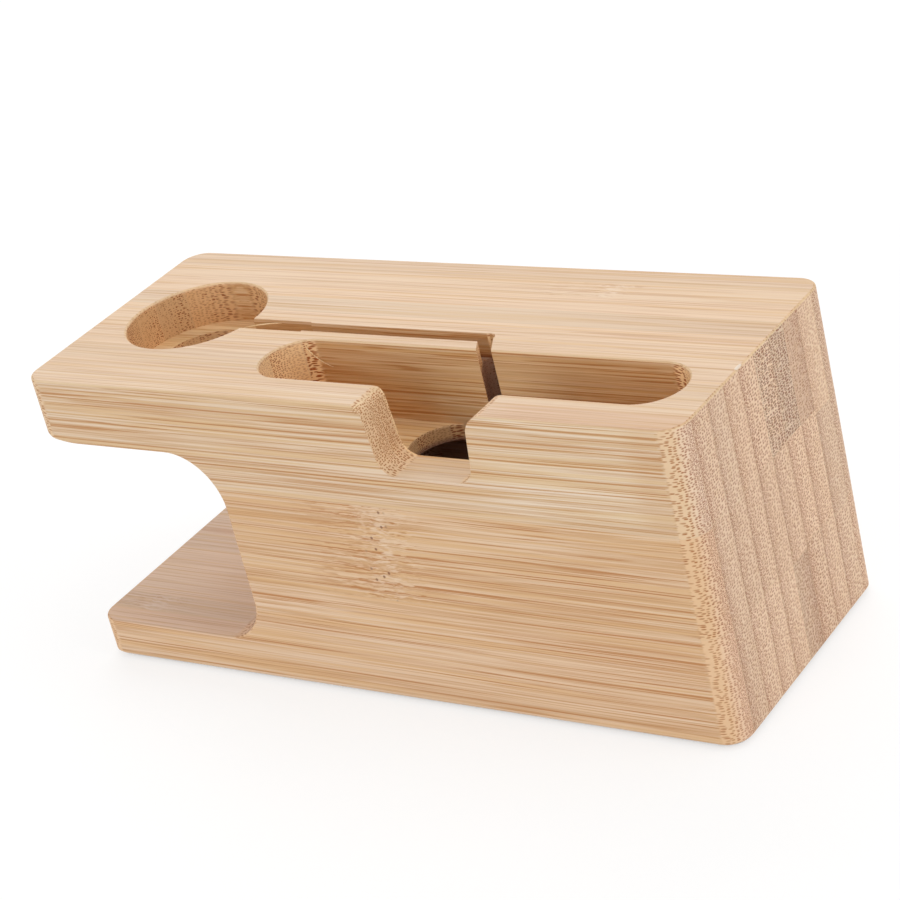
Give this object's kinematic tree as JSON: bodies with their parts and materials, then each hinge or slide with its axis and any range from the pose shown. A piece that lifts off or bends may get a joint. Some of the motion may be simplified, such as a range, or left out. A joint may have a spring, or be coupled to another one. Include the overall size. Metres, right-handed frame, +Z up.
{
  "type": "charging station organizer",
  "caption": "Bamboo charging stand with a phone slot, a notched front wall, a raised watch arm with a round charging-disc seat, a top cable groove and a cable cavity below.",
  "frame": {"origin": "on the table, under the middle of the block", "axes": "+X runs along the block from the watch arm to the solid end, +Y from the notched front face to the rear face, +Z up"},
  "size_m": [0.1506, 0.059, 0.0659],
  "materials": {
    "bamboo_top_row": "fine sanded, unvarnished, satin",
    "bamboo_middle_row": "fine sanded, unvarnished, satin",
    "bamboo_base_row": "fine sanded, unvarnished, satin",
    "pad_rubber": "matte"
  },
  "bodies": {
    "root": {"base_strip_01": "bamboo_base_row", "base_strip_02": "bamboo_base_row", "base_strip_03_left": "bamboo_base_row", "base_strip_03_right": "bamboo_base_row", "base_strip_04_left": "bamboo_base_row", "base_strip_04_right": "bamboo_base_row", "base_strip_05_left": "bamboo_base_row", "base_strip_05_right": "bamboo_base_row", "base_strip_06": "bamboo_base_row", "base_strip_07": "bamboo_base_row", "base_strip_08": "bamboo_base_row", "base_strip_09": "bamboo_base_row", "base_strip_10": "bamboo_base_row", "middle_strip_01": "bamboo_middle_row", "middle_strip_02": "bamboo_middle_row", "middle_strip_03_left": "bamboo_middle_row", "middle_strip_03_right": "bamboo_middle_row", "middle_strip_04_left": "bamboo_middle_row", "middle_strip_04_right": "bamboo_middle_row", "middle_strip_05_left": "bamboo_middle_row", "middle_strip_05_right": "bamboo_middle_row", "middle_strip_06": "bamboo_middle_row", "middle_strip_07": "bamboo_middle_row", "middle_strip_08": "bamboo_middle_row", "middle_strip_09": "bamboo_middle_row", "middle_strip_10": "bamboo_middle_row", "pad_front_left": "pad_rubber", "pad_front_right": "pad_rubber", "pad_rear_left": "pad_rubber", "pad_rear_right": "pad_rubber", "top_strip_01": "bamboo_top_row", "top_strip_02": "bamboo_top_row", "top_strip_03_left": "bamboo_top_row", "top_strip_03_right": "bamboo_top_row", "top_strip_04_left": "bamboo_top_row", "top_strip_04_right": "bamboo_top_row", "top_strip_05_left": "bamboo_top_row", "top_strip_05_middle": "bamboo_top_row", "top_strip_05_right": "bamboo_top_row", "top_strip_06_left": "bamboo_top_row", "top_strip_06_right": "bamboo_top_row", "top_strip_07_left": "bamboo_top_row", "top_strip_07_right": "bamboo_top_row", "top_strip_08": "bamboo_top_row", "top_strip_09": "bamboo_top_row", "top_strip_10": "bamboo_top_row"}
  },
  "joints": []
}
